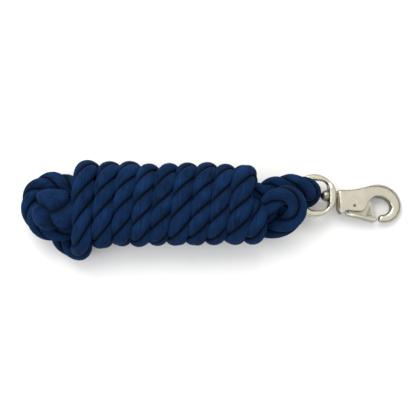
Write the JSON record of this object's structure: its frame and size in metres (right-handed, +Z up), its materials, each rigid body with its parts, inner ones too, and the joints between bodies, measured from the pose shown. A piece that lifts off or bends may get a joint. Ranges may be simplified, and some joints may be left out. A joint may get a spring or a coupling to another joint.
{
  "type": "lead rope",
  "caption": "Twisted cotton lead rope put up as a wrapped hank, with a crowned end and a metal swivel trigger snap whose sprung gate opens a round hook.",
  "frame": {"origin": "centre of the underside of the bounding box, on the surface that the hank and the hook lie on", "axes": "+X along the hank towards the snap's hook, +Y across it towards the standing part's side, +Z up"},
  "size_m": [0.3802, 0.0963, 0.0609],
  "materials": {
    "navy_cotton": "soft matt twisted cotton",
    "nickel_plate": "satin nickel plate on a die-cast body",
    "spring_steel": "plain steel"
  },
  "bodies": {
    "rope": {"rope_hank": "navy_cotton", "rope_bight": "navy_cotton", "rope_last_turn": "navy_cotton", "rope_crown": "navy_cotton", "rope_eye_turn": "navy_cotton", "rope_hitch": "navy_cotton", "swivel_eye": "nickel_plate"},
    "snap": {"snap_hook": "nickel_plate", "swivel_stud": "nickel_plate", "gate_rivet": "spring_steel", "gate_spring": "spring_steel"},
    "gate": {"gate_lever": "nickel_plate"}
  },
  "joints": [
    {"name": "snap_swivel", "type": "hinge", "parent": "rope", "child": "snap", "pos_m": [0.1248, 0.0156, 0.016], "axis": [0.9842, 0, -0.1771], "continuous": true},
    {"name": "gate_hinge", "type": "hinge", "parent": "snap", "child": "gate", "pos_m": [0.14163, 0.0058, 0.01297], "axis": [0.1771, 0, 0.9842], "range_deg": [0, 24], "stiffness_Nm_per_rad": 0.2, "springref_deg": -28.65, "deforming": ["gate_spring"]}
  ]
}
